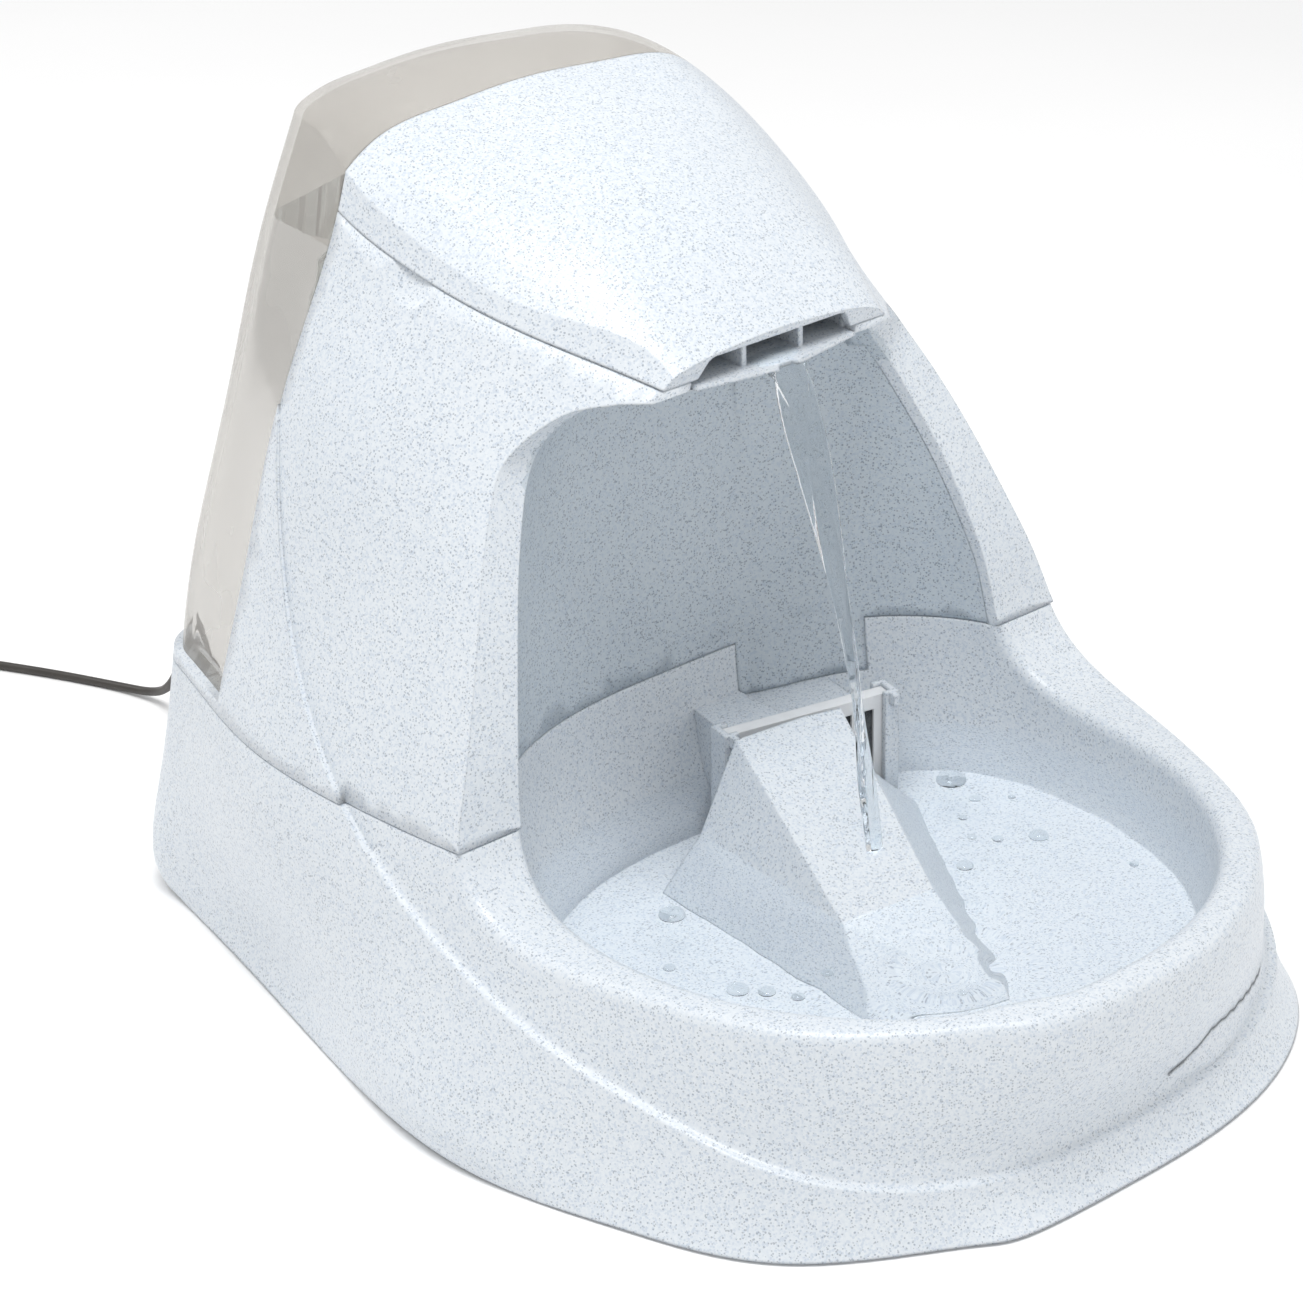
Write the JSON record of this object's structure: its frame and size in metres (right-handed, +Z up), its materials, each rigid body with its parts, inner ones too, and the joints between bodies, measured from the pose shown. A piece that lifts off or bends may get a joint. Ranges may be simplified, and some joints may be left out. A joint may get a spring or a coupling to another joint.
{
  "type": "pet water fountain",
  "caption": "Pet drinking fountain: a wide bowl, a hooded spout whose stream falls on a ramp, and a lift-off reservoir behind.",
  "frame": {"origin": "centre of the fountain's footprint on the floor", "axes": "+Z up, -Y is the front with the bowl, +X to the right seen from the front"},
  "size_m": [0.3561, 0.624, 0.289],
  "materials": {
    "housing_plastic": "satin, speckled",
    "tank_plastic": "clear, smoky",
    "rubber": "matte",
    "steel": "plain",
    "black_plastic": "moulded",
    "filter_cloth": "felt",
    "foam": "open foam",
    "cord_jacket": "satin",
    "brass": "plain",
    "white_plastic": "moulded"
  },
  "bodies": {
    "base": {"base_housing": "housing_plastic", "base_plate": "housing_plastic", "rubber_feet": "rubber", "base_screws": "steel", "filter_holder": "housing_plastic", "pump_body": "black_plastic", "suction_cups": "rubber", "shaft_bushes": "black_plastic", "impeller_shaft": "steel", "intake_guard": "black_plastic", "intake_foam": "foam", "cord_grommet": "cord_jacket", "pump_lead": "cord_jacket", "power_cord": "cord_jacket", "cord_coil": "cord_jacket", "cord_tie": "cord_jacket", "cord_tail": "cord_jacket", "plug_body": "cord_jacket", "plug_pins": "brass"},
    "filter": {"carbon_filter_frame": "white_plastic", "carbon_filter_pad": "filter_cloth"},
    "ramp": {"receiving_ramp": "housing_plastic"},
    "upper": {"upper_housing": "housing_plastic", "alcove_liner": "housing_plastic", "spout_tray": "housing_plastic", "riser_tube": "white_plastic"},
    "cover": {"top_cover": "housing_plastic"},
    "reservoir": {"reservoir_tank": "tank_plastic"},
    "cap": {"reservoir_cap": "white_plastic", "cap_gasket": "rubber", "valve_spring": "steel"},
    "plunger": {"valve_plunger": "white_plastic", "valve_seal": "rubber"},
    "dial": {"flow_dial": "white_plastic"},
    "rotor": {"impeller": "white_plastic"}
  },
  "joints": [
    {"name": "filter_lift", "type": "slide", "parent": "base", "child": "filter", "axis": [0, 0, 1], "range_m": [0, 0.065]},
    {"name": "ramp_lift", "type": "slide", "parent": "base", "child": "ramp", "axis": [0, 0, 1], "range_m": [0, 0.07]},
    {"name": "upper_housing_lift", "type": "slide", "parent": "base", "child": "upper", "axis": [0, 0, 1], "range_m": [0, 0.12]},
    {"name": "cover_lift", "type": "slide", "parent": "upper", "child": "cover", "axis": [0, -0.08, 0.9968], "range_m": [0, 0.06]},
    {"name": "reservoir_lift", "type": "slide", "parent": "upper", "child": "reservoir", "axis": [0, 0, 1], "range_m": [0, 0.12]},
    {"name": "cap_turn", "type": "hinge", "parent": "reservoir", "child": "cap", "pos_m": [0, 0.133, 0.07], "axis": [0, 0, 1], "range_deg": [0, 170]},
    {"name": "valve_travel", "type": "slide", "parent": "cap", "child": "plunger", "axis": [0, 0, 1], "range_m": [0, 0.003], "stiffness_N_per_m": 120, "springref_m": -0.004, "deforming": ["valve_spring"]},
    {"name": "flow_dial_turn", "type": "hinge", "parent": "base", "child": "dial", "pos_m": [0.024, 0.072, 0.027], "axis": [1, 0, 0], "range_deg": [-60, 60]},
    {"name": "impeller_spin", "type": "hinge", "parent": "base", "child": "rotor", "pos_m": [0, 0.072, 0.031], "axis": [1, 0, 0], "continuous": true}
  ]
}
